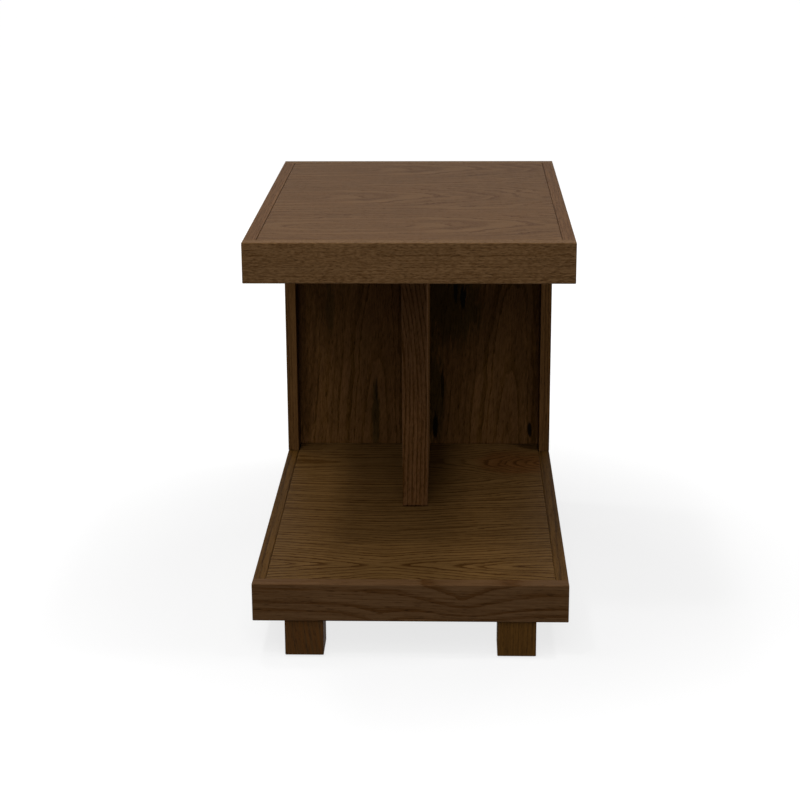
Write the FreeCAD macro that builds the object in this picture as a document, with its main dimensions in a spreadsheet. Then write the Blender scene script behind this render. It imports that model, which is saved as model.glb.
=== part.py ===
"""A chairside table in stained oak: a thick top and a thick base, joined at the back.

The front faces -Y and the floor is Z = 0, with X = 0 and Y = 0 in the middle of the plan.
Each slab is hollow: two veneered skins over a frame of rails and ribs, with solid lippings round it.
The upright is a back panel between two narrow returns, with a fin that stands forward from its middle.
Four square feet with felt pads carry the base. Dowels, bolts and screws hold the pieces together.
"""

import FreeCAD, Part
import math
import os
from types import SimpleNamespace

import Sketcher

# The driving sizes, in millimetres
SIZES = [
    ("width", 406.4, "left side to right side"),
    ("depth", 609.6, "front edge to back edge"),
    ("slab_thickness", 50.8, "the top, and the base as well"),
    ("opening_height", 393.7, "base to top, the clear height"),
    ("foot_height", 50.8, "floor to the underside of the base, felt pad included"),
    ("arris", 1.2, "radius that every outer corner is eased to"),
    ("side_lipping", 16.0, "solid edging of a slab, left and right"),
    ("end_lipping", 19.0, "solid edging of a slab, front and back"),
    ("skin", 9.0, "veneered board over and under a slab's frame"),
    ("seam_width", 1.0, "shadow groove between a skin and a side lipping"),
    ("seam_depth", 1.2, "how deep that groove is"),
    ("side_rail", 40.0, "width of a frame rail along the sides"),
    ("end_rail", 50.0, "width of a frame rail at the front and back"),
    ("spine", 50.0, "width of the frame's middle rail, under and over the fin"),
    ("rib", 24.0, "width of a frame's cross rib"),
    ("rib_spacing", 170.0, "distance between the two rows of cross ribs"),
    ("return_thickness", 16.0, "board at each side of the upright"),
    ("return_depth", 60.0, "how far that board stands forward from the back edge"),
    ("panel_thickness", 24.0, "back panel"),
    ("fin_setback", 294.0, "front edge of the table to the front edge of the fin"),
    ("fin_thickness", 35.0, "fin, over its two skins"),
    ("fin_lipping", 19.0, "solid edging on the fin's front edge"),
    ("fin_skin", 6.0, "veneered board on each side of the fin"),
    ("fin_stile", 40.0, "width of the upright members inside the fin"),
    ("fin_rail", 45.0, "height of the cross members inside the fin"),
    ("foot_width", 50.0, "square foot, both ways"),
    ("foot_side_inset", 41.0, "side of the slab to the foot"),
    ("foot_end_inset", 3.0, "front or back of the slab to the foot"),
    ("pad_thickness", 2.0, "felt pad under a foot"),
    ("pad_diameter", 40.0, "felt pad"),
    ("dowel", 8.0, "diameter of the beech dowels"),
    ("dowel_reach", 20.0, "how far an upright dowel goes into each piece"),
    ("dowel_bevel", 1.0, "chamfer on a dowel's ends"),
    ("dowel_play", 0.1, "gap round a dowel in its hole"),
    ("dowel_room", 1.0, "space left at the end of a dowel hole"),
    ("return_dowel_inset", 15.0, "front of a return to its front dowel"),
    ("return_dowel_bite", 10.0, "how far a side dowel goes into a return"),
    ("panel_dowel_bite", 14.0, "how far a fin dowel goes into the back panel"),
    ("panel_dowel_inner", 45.0, "middle of the back panel to its inner dowels"),
    ("panel_dowel_outer", 140.0, "middle of the back panel to its outer dowels"),
    ("panel_bolt", 92.0, "middle of the back panel to its bolts"),
    ("bolt", 6.0, "diameter of the bolts that hold the upright to the base"),
    ("bolt_head", 10.0, "diameter of their heads"),
    ("bolt_head_height", 6.0, "height of their heads"),
    ("bolt_key", 5.0, "hexagon socket, across its flats"),
    ("bolt_key_depth", 3.0, "depth of that socket"),
    ("bolt_play", 0.3, "gap round a bolt in the wood"),
    ("thread_play", 0.05, "gap between a bolt and its threaded insert"),
    ("washer", 12.0, "outer diameter of the washer under a bolt's head"),
    ("washer_thickness", 1.6, "that washer"),
    ("recess", 13.0, "diameter of the hole that sinks a bolt's head"),
    ("recess_depth", 12.0, "depth of that hole"),
    ("insert", 10.0, "outer diameter of a threaded insert"),
    ("insert_length", 15.0, "length of a threaded insert"),
    ("insert_play", 0.05, "gap round an insert in its hole"),
    ("insert_room", 3.0, "space above an insert, for the bolt's tip"),
    ("foot_bolt", 8.0, "diameter of the stud that holds a foot"),
    ("foot_bolt_bite", 30.0, "how far the stud goes into the foot"),
    ("foot_insert", 12.0, "outer diameter of the insert that takes the stud"),
    ("foot_dowel", 6.0, "diameter of the dowel that stops a foot turning"),
    ("foot_dowel_reach", 12.0, "how far that dowel goes into each piece"),
    ("foot_dowel_offset", 15.0, "middle of the foot to that dowel, both ways"),
    ("screw", 5.0, "diameter of the screws from the top into the fin"),
    ("screw_head", 10.0, "diameter of their countersunk heads"),
    ("screw_head_height", 3.0, "height of those heads"),
    ("screw_slot", 1.2, "width of each arm of the cross in a screw's head"),
    ("screw_slot_length", 5.0, "length of each arm of that cross"),
    ("screw_slot_depth", 1.8, "depth of that cross"),
    ("screw_tip", 6.0, "length of a screw's point"),
    ("screw_bite", 22.0, "how far a screw goes into the fin"),
    ("screw_play", 0.1, "gap round a screw in its hole"),
]
# Where fastenings stand along the opening's height, and along the fin's rails from the front
RETURN_DOWEL_SHARES = (0.15, 0.5, 0.85)
REAR_DOWEL_SHARES = (0.125, 0.375, 0.625, 0.875)
RAIL_BOLT_SHARES = (0.16, 0.84)
RAIL_DOWEL_SHARES = (0.36, 0.64)
AXES = ("x", "y", "z")
SIDES = (("left", -1), ("right", 1))
ENDS = (("front", -1), ("back", 1))
TOUCH = 1e-4


class Size:
    """A length, kept as its number and as the formula on the sheet that gives it."""

    def __init__(self, number, formula):
        self.number = number
        self.formula = formula

    def __add__(self, other):
        return Size(self.number + other.number, f"({self.formula} + {other.formula})")

    def __sub__(self, other):
        return Size(self.number - other.number, f"({self.formula} - {other.formula})")

    def __mul__(self, share):
        return Size(self.number * share, f"({self.formula} * {share})")

    def __truediv__(self, share):
        return Size(self.number / share, f"({self.formula} / {share})")

    def __neg__(self):
        return Size(-self.number, f"(0 - {self.formula})")


NONE = Size(0.0, "0")
doc = FreeCAD.newDocument("chairside_table")
sheet = doc.addObject("Spreadsheet::Sheet", "sizes")
for row, (alias, number, meaning) in enumerate(SIZES, start=1):
    sheet.set(f"A{row}", alias)
    sheet.set(f"B{row}", str(number))
    sheet.setAlias(f"B{row}", alias)
    sheet.set(f"C{row}", meaning)
doc.recompute()
size = SimpleNamespace(**{alias: Size(number, f"sizes.{alias}") for alias, number, _ in SIZES})
parts = {}


def keep(label, thing):
    """Names a finished sub-part and lists it for export."""
    thing.Label = label
    parts[label] = thing
    return thing


def place(thing, low):
    """Binds where a sub-part's own origin stands in the table."""
    for axis, where in zip(AXES, low):
        thing.setExpression(f"Placement.Base.{axis}", where.formula)


def add_sketch(body, name, plane, offset=NONE):
    """Adds an empty sketch on one of the body's own planes, moved along that plane's normal."""
    planes = {feature.Role: feature for feature in body.Origin.OriginFeatures}
    sketch = body.newObject("Sketcher::SketchObject", name)
    sketch.AttachmentSupport = [(planes[plane], "")]
    sketch.MapMode = "FlatFace"
    sketch.setExpression("AttachmentOffset.Base.z", offset.formula)
    return sketch


def fix_point(sketch, element, point, across, up):
    """Holds a point of the sketch at its distances from the sketch's origin."""
    for kind, axis_line, distance in (("DistanceX", -2, across), ("DistanceY", -1, up)):
        if distance is NONE:
            sketch.addConstraint(Sketcher.Constraint("PointOnObject", element, point, axis_line))
            continue
        held = Sketcher.Constraint(kind, -1, 1, element, point, distance.number)
        index = sketch.addConstraint(held)
        sketch.setExpression(f"Constraints[{index}]", distance.formula)


def draw_outline(sketch, corners):
    """Draws a closed outline of straight lines through the corners, each (across, up)."""
    first = sketch.GeometryCount
    spots = [FreeCAD.Vector(across.number, up.number, 0) for across, up in corners]
    for index, spot in enumerate(spots):
        sketch.addGeometry(Part.LineSegment(spot, spots[(index + 1) % len(spots)]), False)
    for index, (across, up) in enumerate(corners):
        after = first + (index + 1) % len(corners)
        sketch.addConstraint(Sketcher.Constraint("Coincident", first + index, 2, after, 1))
        fix_point(sketch, first + index, 1, across, up)


def draw_rectangle(sketch, across, up, wide, high):
    """Draws a rectangle from its lower left corner."""
    right, over = across + wide, up + high
    draw_outline(sketch, [(across, up), (right, up), (right, over), (across, over)])


def draw_circle(sketch, across, up, diameter):
    """Draws a circle round a point."""
    centre = FreeCAD.Vector(across.number, up.number, 0)
    circle = Part.Circle(centre, FreeCAD.Vector(0, 0, 1), diameter.number / 2)
    element = sketch.addGeometry(circle, False)
    fix_point(sketch, element, 3, across, up)
    held = sketch.addConstraint(Sketcher.Constraint("Diameter", element, diameter.number))
    sketch.setExpression(f"Constraints[{held}]", diameter.formula)


def pad(body, name, sketch, length, downwards=False):
    """Raises a sketch into a solid."""
    feature = body.newObject("PartDesign::Pad", name)
    feature.Profile = sketch
    feature.setExpression("Length", length.formula)
    feature.Reversed = downwards
    doc.recompute()
    return feature


def cut(body, name, sketch, depth, along_normal):
    """Cuts a sketch into the body, and stops if nothing was cut."""
    before = body.Shape.Volume
    feature = body.newObject("PartDesign::Pocket", name)
    feature.Profile = sketch
    feature.setExpression("Length", depth.formula)
    feature.Reversed = along_normal
    doc.recompute()
    if not body.Shape.Volume < before:
        raise ValueError(f"{name} cut nothing from {body.Name}")
    return feature


def ease(body, name, chosen, radius):
    """Rounds the chosen edges of the body's last feature."""
    base = body.Tip
    names = [f"Edge{n}" for n, edge in enumerate(base.Shape.Edges, start=1) if chosen(edge)]
    if not names:
        raise ValueError(f"{name} found no edge to round on {body.Name}")
    feature = body.newObject("PartDesign::Fillet", name)
    feature.Base = (base, names)
    feature.setExpression("Radius", radius.formula)
    doc.recompute()
    return feature


class Board:
    """A sawn board: a rectangle raised to the board's height, then drilled, grooved and eased.

    Its own origin is its lowest corner, and all the places given to it are the table's.
    """

    # For each face: sketch plane, the axes across and up it, its own axis, its side, and the cut's way
    FACES = {
        "bottom": ("XY_Plane", (0, 1), 2, 0, True),
        "top": ("XY_Plane", (0, 1), 2, 1, False),
        "front": ("XZ_Plane", (0, 2), 1, 0, False),
        "back": ("XZ_Plane", (0, 2), 1, 1, True),
        "left": ("YZ_Plane", (1, 2), 0, 0, True),
        "right": ("YZ_Plane", (1, 2), 0, 1, False),
    }

    def __init__(self, label, low, extent):
        self.label = label
        self.low = low
        self.extent = extent
        self.cuts = 0
        self.body = doc.addObject("PartDesign::Body", label)
        outline = add_sketch(self.body, f"{label}_outline", "XY_Plane")
        draw_rectangle(outline, NONE, NONE, extent[0], extent[1])
        pad(self.body, f"{label}_board", outline, extent[2])
        place(self.body, low)
        keep(label, self.body)

    def _face_sketch(self, face):
        plane, _, axis, side, _ = self.FACES[face]
        offset = self.extent[axis] if side else NONE
        if plane == "XZ_Plane" and side:
            offset = -offset
        self.cuts += 1
        return add_sketch(self.body, f"{self.label}_marks_{self.cuts}", plane, offset)

    def drill(self, face, centres, diameter, depth):
        """Drills round holes into a face, at places in the table."""
        sketch = self._face_sketch(face)
        axes = self.FACES[face][1]
        for centre in centres:
            across, up = (centre[n] - self.low[axis] for n, axis in enumerate(axes))
            draw_circle(sketch, across, up, diameter)
        cut(self.body, f"{self.label}_holes_{self.cuts}", sketch, depth, self.FACES[face][4])

    def groove_sides(self, face, wide, deep):
        """Cuts a shallow step along the left and right edges of a face."""
        sketch = self._face_sketch(face)
        long = self.extent[self.FACES[face][1][1]]
        draw_rectangle(sketch, NONE, NONE, wide, long)
        draw_rectangle(sketch, self.extent[0] - wide, NONE, wide, long)
        cut(self.body, f"{self.label}_grooves_{self.cuts}", sketch, deep, self.FACES[face][4])

    def ease(self, box, radius):
        """Rounds the board's edges that are also edges of a box, given by its low and high corners.

        An entry of the box is None where the board has no outer face on that side.
        """

        def on_box(edge):
            shared = 0
            bound = edge.BoundBox
            ends = ((bound.XMin, bound.XMax), (bound.YMin, bound.YMax), (bound.ZMin, bound.ZMax))
            for axis, (least, most) in enumerate(ends):
                for side in box:
                    wall = side[axis]
                    if wall is None:
                        continue
                    level = wall.number - self.low[axis].number
                    if abs(least - level) < TOUCH and abs(most - level) < TOUCH:
                        shared += 1
            return shared == 2

        ease(self.body, f"{self.label}_arrises", on_box, radius)


def turned(label, profile):
    """Makes a body of revolution round Z from an outline of (radius, height) corners."""
    body = doc.addObject("PartDesign::Body", label)
    sketch = add_sketch(body, f"{label}_profile", "XZ_Plane")
    draw_outline(sketch, profile)
    feature = body.newObject("PartDesign::Revolution", f"{label}_turning")
    feature.Profile = sketch
    feature.ReferenceAxis = (sketch, ["V_Axis"])
    feature.Angle = 360
    doc.recompute()
    return body


def set_of(label, pattern, spots):
    """Makes one sub-part of separate copies of a pattern piece.

    Each spot is (x, y, z) in the table, and may add an axis and angle to turn the copy by.
    """
    copies = []
    for number, (where, *turn) in enumerate(spots, start=1):
        copy = doc.addObject("App::Link", f"{label}_{number}")
        copy.LinkedObject = pattern
        if turn:
            copy.Placement = FreeCAD.Placement(FreeCAD.Vector(), FreeCAD.Rotation(*turn[0]))
        place(copy, where)
        copies.append(copy)
    group = doc.addObject("Part::Compound", label)
    group.Links = copies
    keep(label, group)


# Levels and lines that several pieces share
half_width = size.width / 2
half_depth = size.depth / 2
base_level = size.foot_height
deck_level = base_level + size.slab_thickness
soffit_level = deck_level + size.opening_height
frame_x = half_width - size.side_lipping
frame_y = half_depth - size.end_lipping
frame_height = size.slab_thickness - size.skin * 2
lipping_line = half_depth - size.end_lipping / 2
panel_line = half_depth - size.panel_thickness / 2
return_line = half_width - size.return_thickness / 2
fin_front = size.fin_setback - half_depth
fin_rear = half_depth - size.panel_thickness
fin_core_front = fin_front + size.fin_lipping
fin_rail_front = fin_core_front + size.fin_stile
fin_rail_rear = fin_rear - size.fin_stile
fin_rail_length = fin_rail_rear - fin_rail_front
foot_x = half_width - size.foot_side_inset - size.foot_width / 2
foot_y = half_depth - size.foot_end_inset - size.foot_width / 2

# Holes: each clears what goes into it
dowel_hole = size.dowel + size.dowel_play * 2
dowel_hole_depth = size.dowel_reach + size.dowel_room
foot_dowel_hole = size.foot_dowel + size.dowel_play * 2
foot_dowel_hole_depth = size.foot_dowel_reach + size.dowel_room
bolt_hole = size.bolt + size.bolt_play * 2
foot_bolt_hole = size.foot_bolt + size.bolt_play * 2
insert_hole = size.insert + size.insert_play * 2
insert_hole_depth = size.insert_length + size.insert_room
foot_insert_hole = size.foot_insert + size.insert_play * 2
screw_hole = size.screw + size.screw_play * 2

# Where the joints are, each (x, y) in the table, the same for the pieces on both sides
panel_dowels = [
    (reach * way, lipping_line)
    for reach in (size.panel_dowel_inner, size.panel_dowel_outer)
    for _, way in SIDES
]
panel_bolts = [(size.panel_bolt * way, lipping_line) for _, way in SIDES]
fin_bolts = [(NONE, fin_rail_front + fin_rail_length * share) for share in RAIL_BOLT_SHARES]
fin_dowels = [(NONE, fin_rail_front + fin_rail_length * share) for share in RAIL_DOWEL_SHARES]
return_front_line = half_depth - size.return_depth + size.return_dowel_inset
return_lines = (return_front_line, lipping_line)
return_rows = {side: [(return_line * way, y) for y in return_lines] for side, way in SIDES}
side_dowel_heights = [deck_level + size.opening_height * share for share in RETURN_DOWEL_SHARES]
fin_dowel_heights = [deck_level + size.opening_height * share for share in REAR_DOWEL_SHARES]


def corner_box(low_z, high_z):
    """The outer box of a slab, as its low and high corners."""
    return (-half_width, -half_depth, low_z), (half_width, half_depth, high_z)


def make_lippings(slab, level):
    """Makes the solid edging: the end pieces run right across, and the side pieces fit between."""
    lippings = {}
    box = corner_box(level, level + size.slab_thickness)
    for end, way in ENDS:
        low_y = -half_depth if way < 0 else frame_y
        low = (-half_width, low_y, level)
        extent = (size.width, size.end_lipping, size.slab_thickness)
        lippings[end] = Board(f"{slab}_{end}_lipping", low, extent)
    for side, way in SIDES:
        low_x = -half_width if way < 0 else frame_x
        low = (low_x, -frame_y, level)
        extent = (size.side_lipping, frame_y * 2, size.slab_thickness)
        lippings[side] = Board(f"{slab}_{side}_lipping", low, extent)
    return lippings, box


def make_skins(slab, level, upper_name, lower_name):
    """Makes the two veneered boards over and under a slab's frame, grooved beside the lippings."""
    extent = (frame_x * 2, frame_y * 2, size.skin)
    lower = Board(f"{slab}_{lower_name}", (-frame_x, -frame_y, level), extent)
    upper_level = level + size.slab_thickness - size.skin
    upper = Board(f"{slab}_{upper_name}", (-frame_x, -frame_y, upper_level), extent)
    lower.groove_sides("bottom", size.seam_width, size.seam_depth)
    upper.groove_sides("top", size.seam_width, size.seam_depth)
    return upper, lower


def make_frame(slab, level):
    """Makes the rails and ribs inside a slab, and returns its spine and its end rails."""
    low_z = level + size.skin
    for side, way in SIDES:
        low_x = -frame_x if way < 0 else frame_x - size.side_rail
        low = (low_x, -frame_y, low_z)
        Board(f"{slab}_{side}_rail", low, (size.side_rail, frame_y * 2, frame_height))
    rails = {}
    inner_x = frame_x - size.side_rail
    for end, way in ENDS:
        low_y = -frame_y if way < 0 else frame_y - size.end_rail
        low = (-inner_x, low_y, low_z)
        rails[end] = Board(f"{slab}_{end}_rail", low, (inner_x * 2, size.end_rail, frame_height))
    inner_y = frame_y - size.end_rail
    low = (-(size.spine / 2), -inner_y, low_z)
    spine = Board(f"{slab}_spine_rail", low, (size.spine, inner_y * 2, frame_height))
    for side, side_way in SIDES:
        low_x = -inner_x if side_way < 0 else size.spine / 2
        for end, end_way in ENDS:
            low_y = size.rib_spacing / 2 * end_way - size.rib / 2
            extent = (inner_x - size.spine / 2, size.rib, frame_height)
            Board(f"{slab}_{side}_{end}_rib", (low_x, low_y, low_z), extent)
    return spine, rails


def make_base():
    """Makes the base: a slab drilled from above for dowels, and from below for bolts and feet."""
    lippings, box = make_lippings("base", base_level)
    deck, underside = make_skins("base", base_level, "deck", "underside")
    spine, rails = make_frame("base", base_level)
    lippings["back"].drill("top", panel_dowels, dowel_hole, dowel_hole_depth)
    rear_dowels = [row[1] for row in return_rows.values()]
    lippings["back"].drill("top", rear_dowels, dowel_hole, dowel_hole_depth)
    lippings["back"].drill("bottom", panel_bolts, size.recess, size.recess_depth)
    lippings["back"].drill("top", panel_bolts, bolt_hole, size.slab_thickness)
    for side, _ in SIDES:
        lippings[side].drill("top", return_rows[side][:1], dowel_hole, dowel_hole_depth)
    deck.drill("top", fin_dowels, dowel_hole, size.skin)
    deck.drill("top", fin_bolts, bolt_hole, size.skin)
    spine.drill("top", fin_dowels, dowel_hole, dowel_hole_depth - size.skin)
    spine.drill("top", fin_bolts, bolt_hole, frame_height)
    spine.drill("bottom", fin_bolts, size.recess, size.recess_depth - size.skin)
    underside.drill("bottom", fin_bolts, size.recess, size.skin)
    for end, end_way in ENDS:
        studs = [(foot_x * way, foot_y * end_way) for _, way in SIDES]
        pegs = foot_dowel_spots(end_way)
        underside.drill("bottom", studs, foot_bolt_hole, size.skin)
        underside.drill("bottom", pegs, foot_dowel_hole, size.skin)
        rails[end].drill("bottom", studs, foot_insert_hole, insert_hole_depth)
        rails[end].drill("bottom", pegs, foot_dowel_hole, foot_dowel_hole_depth - size.skin)
    for lipping in lippings.values():
        lipping.ease(box, size.arris)


def make_top():
    """Makes the top: a slab drilled from below for dowels, and through its spine for screws."""
    lippings, box = make_lippings("top", soffit_level)
    _, soffit = make_skins("top", soffit_level, "panel", "soffit")
    spine, _ = make_frame("top", soffit_level)
    lippings["back"].drill("bottom", panel_dowels, dowel_hole, dowel_hole_depth)
    rear_dowels = [row[1] for row in return_rows.values()]
    lippings["back"].drill("bottom", rear_dowels, dowel_hole, dowel_hole_depth)
    for side, _ in SIDES:
        lippings[side].drill("bottom", return_rows[side][:1], dowel_hole, dowel_hole_depth)
    soffit.drill("bottom", fin_dowels, dowel_hole, size.skin)
    soffit.drill("bottom", fin_bolts, screw_hole, size.skin)
    spine.drill("bottom", fin_dowels, dowel_hole, dowel_hole_depth - size.skin)
    spine.drill("bottom", fin_bolts, screw_hole, frame_height)
    head_hole = size.screw_head + size.screw_play * 2
    spine.drill("top", fin_bolts, head_hole, size.screw_head_height + size.screw_play)
    for lipping in lippings.values():
        lipping.ease(box, size.arris)


def make_upright():
    """Makes the back panel and the two returns that close its sides."""
    panel_x = half_width - size.return_thickness
    low = (-panel_x, fin_rear, deck_level)
    panel = Board("back_panel", low, (panel_x * 2, size.panel_thickness, size.opening_height))
    panel.groove_sides("back", size.seam_width, size.seam_depth)
    for face in ("bottom", "top"):
        panel.drill(face, panel_dowels, dowel_hole, dowel_hole_depth)
    panel.drill("bottom", panel_bolts, insert_hole, insert_hole_depth)
    side_holes = [(panel_line, height) for height in side_dowel_heights]
    for side, _ in SIDES:
        panel.drill(side, side_holes, dowel_hole, dowel_hole_depth)
    fin_holes = [(NONE, height) for height in fin_dowel_heights]
    panel.drill("front", fin_holes, dowel_hole, size.panel_dowel_bite + size.dowel_room)
    return_front = half_depth - size.return_depth
    for side, way in SIDES:
        low_x = -half_width if way < 0 else panel_x
        extent = (size.return_thickness, size.return_depth, size.opening_height)
        board = Board(f"{side}_return", (low_x, return_front, deck_level), extent)
        for face in ("bottom", "top"):
            board.drill(face, return_rows[side], dowel_hole, dowel_hole_depth)
        inner_face = "right" if way < 0 else "left"
        bite = size.return_dowel_bite + size.dowel_room
        board.drill(inner_face, side_holes, dowel_hole, bite)
        outer_x, inner_x = half_width * way, panel_x * way
        # The rear inner edge is a joint with the panel, so it stays square
        board.ease(((outer_x, return_front, None), (None, half_depth, None)), size.arris)
        board.ease(((inner_x, return_front, None), (None, None, None)), size.arris)


def make_fin():
    """Makes the hollow fin: two skins on a frame of stiles and rails, lipped at the front."""
    half_fin = size.fin_thickness / 2
    high = size.opening_height
    box = ((-half_fin, fin_front, None), (half_fin, None, None))
    low = (-half_fin, fin_front, deck_level)
    lipping = Board("fin_lipping", low, (size.fin_thickness, size.fin_lipping, high))
    lipping.ease(box, size.arris)
    core_depth = fin_rear - fin_core_front
    for side, way in SIDES:
        low_x = -half_fin if way < 0 else half_fin - size.fin_skin
        low = (low_x, fin_core_front, deck_level)
        Board(f"fin_{side}_skin", low, (size.fin_skin, core_depth, high))
    core_x = half_fin - size.fin_skin
    stile = (core_x * 2, size.fin_stile, high)
    Board("fin_front_stile", (-core_x, fin_core_front, deck_level), stile)
    rear_stile = Board("fin_rear_stile", (-core_x, fin_rail_rear, deck_level), stile)
    fin_holes = [(NONE, height) for height in fin_dowel_heights]
    rear_stile.drill("back", fin_holes, dowel_hole, dowel_hole_depth)
    rail = (core_x * 2, fin_rail_length, size.fin_rail)
    bottom_rail = Board("fin_bottom_rail", (-core_x, fin_rail_front, deck_level), rail)
    bottom_rail.drill("bottom", fin_dowels, dowel_hole, dowel_hole_depth)
    bottom_rail.drill("bottom", fin_bolts, insert_hole, insert_hole_depth)
    top_rail = Board("fin_top_rail", (-core_x, fin_rail_front, soffit_level - size.fin_rail), rail)
    top_rail.drill("top", fin_dowels, dowel_hole, dowel_hole_depth)
    top_rail.drill("top", fin_bolts, screw_hole, size.screw_bite + size.screw_play)


def foot_dowel_spots(end_way):
    """Where the small dowels go that stop the feet at one end from turning."""
    return [
        ((foot_x - size.foot_dowel_offset) * way, (foot_y - size.foot_dowel_offset) * end_way)
        for _, way in SIDES
    ]


def make_feet():
    """Makes the four square feet, and the felt pad under each."""
    half_foot = size.foot_width / 2
    high = size.foot_height - size.pad_thickness
    pad_outline = [
        (NONE, NONE),
        (size.pad_diameter / 2, NONE),
        (size.pad_diameter / 2, size.pad_thickness),
        (NONE, size.pad_thickness),
    ]
    for end, end_way in ENDS:
        for number, (side, way) in enumerate(SIDES):
            x, y = foot_x * way, foot_y * end_way
            low = (x - half_foot, y - half_foot, size.pad_thickness)
            foot = Board(f"foot_{end}_{side}", low, (size.foot_width, size.foot_width, high))
            foot.drill("top", [(x, y)], foot_bolt_hole, size.foot_bolt_bite + size.dowel_room)
            peg = foot_dowel_spots(end_way)[number : number + 1]
            foot.drill("top", peg, foot_dowel_hole, foot_dowel_hole_depth)
            sides = (x - half_foot, y - half_foot), (x + half_foot, y + half_foot)
            box = (*sides[0], size.pad_thickness), (*sides[1], None)
            foot.ease(box, size.arris)
            felt = turned(f"felt_pad_{end}_{side}", pad_outline)
            place(felt, (x, y, NONE))
            keep(f"felt_pad_{end}_{side}", felt)


def dowel_pattern(name, diameter, length):
    """Makes one dowel with bevelled ends, standing on its own origin."""
    radius, bevel = diameter / 2, size.dowel_bevel
    profile = [
        (NONE, NONE),
        (radius - bevel, NONE),
        (radius, bevel),
        (radius, length - bevel),
        (radius - bevel, length),
        (NONE, length),
    ]
    return turned(name, profile)


def make_dowels():
    """Makes the dowels: upright ones at the base and top, and level ones into the back panel."""
    upright = dowel_pattern("dowel_pattern", size.dowel, size.dowel_reach * 2)
    spots = panel_dowels + fin_dowels + return_rows["left"] + return_rows["right"]
    for label, level in (("base_dowels", deck_level), ("top_dowels", soffit_level)):
        set_of(label, upright, [((x, y, level - size.dowel_reach),) for x, y in spots])
    length = size.return_dowel_bite + size.dowel_reach
    sideways = dowel_pattern("side_dowel_pattern", size.dowel, length)
    across = (FreeCAD.Vector(0, 1, 0), 90)
    panel_x = half_width - size.return_thickness
    starts = {"left": -panel_x - size.return_dowel_bite, "right": panel_x - size.dowel_reach}
    spots = [((x, panel_line, height), across) for x in starts.values() for height in side_dowel_heights]
    set_of("return_dowels", sideways, spots)
    length = size.panel_dowel_bite + size.dowel_reach
    forward = dowel_pattern("fin_dowel_pattern", size.dowel, length)
    backwards = (FreeCAD.Vector(1, 0, 0), -90)
    start = fin_rear - size.dowel_reach
    set_of("fin_dowels", forward, [((NONE, start, height), backwards) for height in fin_dowel_heights])
    small = dowel_pattern("foot_dowel_pattern", size.foot_dowel, size.foot_dowel_reach * 2)
    low = base_level - size.foot_dowel_reach
    spots = [((x, y, low),) for _, way in ENDS for x, y in foot_dowel_spots(way)]
    set_of("foot_dowels", small, spots)


def add_key_socket(body, face_level):
    """Sinks a hexagon socket into a bolt's head, from the face that looks down."""
    sketch = add_sketch(body, f"{body.Name}_key", "XY_Plane", face_level)
    across_corners = size.bolt_key / math.cos(math.pi / 6) / 2
    corners = []
    for step in range(6):
        turn = math.pi / 3 * step
        corners.append((across_corners * math.cos(turn), across_corners * math.sin(turn)))
    draw_outline(sketch, corners)
    cut(body, f"{body.Name}_socket", sketch, size.bolt_key_depth, True)


def sleeve(name, outer, bore, length):
    """Makes a ring or a sleeve standing on its own origin."""
    profile = [
        (bore / 2, NONE),
        (outer / 2, NONE),
        (outer / 2, length),
        (bore / 2, length),
    ]
    return turned(name, profile)


def make_base_bolts():
    """Makes the bolts up through the base, with their washers and the inserts that take them."""
    spots = panel_bolts + fin_bolts
    seat = base_level + size.recess_depth - size.washer_thickness
    length = deck_level + size.insert_length - seat
    profile = [
        (NONE, -size.bolt_head_height),
        (size.bolt_head / 2, -size.bolt_head_height),
        (size.bolt_head / 2, NONE),
        (size.bolt / 2, NONE),
        (size.bolt / 2, length),
        (NONE, length),
    ]
    pattern = turned("base_bolt_pattern", profile)
    add_key_socket(pattern, -size.bolt_head_height)
    set_of("base_bolts", pattern, [((x, y, seat),) for x, y in spots])
    washer = sleeve("washer_pattern", size.washer, bolt_hole, size.washer_thickness)
    set_of("base_bolt_washers", washer, [((x, y, seat),) for x, y in spots])
    threaded = size.bolt + size.thread_play * 2
    insert = sleeve("insert_pattern", size.insert, threaded, size.insert_length)
    set_of("base_bolt_inserts", insert, [((x, y, deck_level),) for x, y in spots])


def make_foot_studs():
    """Makes the studs that hold the feet, and the inserts in the end rails that take them."""
    spots = [(foot_x * way, foot_y * end_way) for _, end_way in ENDS for _, way in SIDES]
    insert_level = base_level + size.skin
    low = base_level - size.foot_bolt_bite
    length = size.foot_bolt_bite + size.skin + size.insert_length
    profile = [
        (NONE, NONE),
        (size.foot_bolt / 2, NONE),
        (size.foot_bolt / 2, length),
        (NONE, length),
    ]
    set_of("foot_studs", turned("foot_stud_pattern", profile), [((x, y, low),) for x, y in spots])
    threaded = size.foot_bolt + size.thread_play * 2
    insert = sleeve("foot_insert_pattern", size.foot_insert, threaded, size.insert_length)
    set_of("foot_inserts", insert, [((x, y, insert_level),) for x, y in spots])


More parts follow.
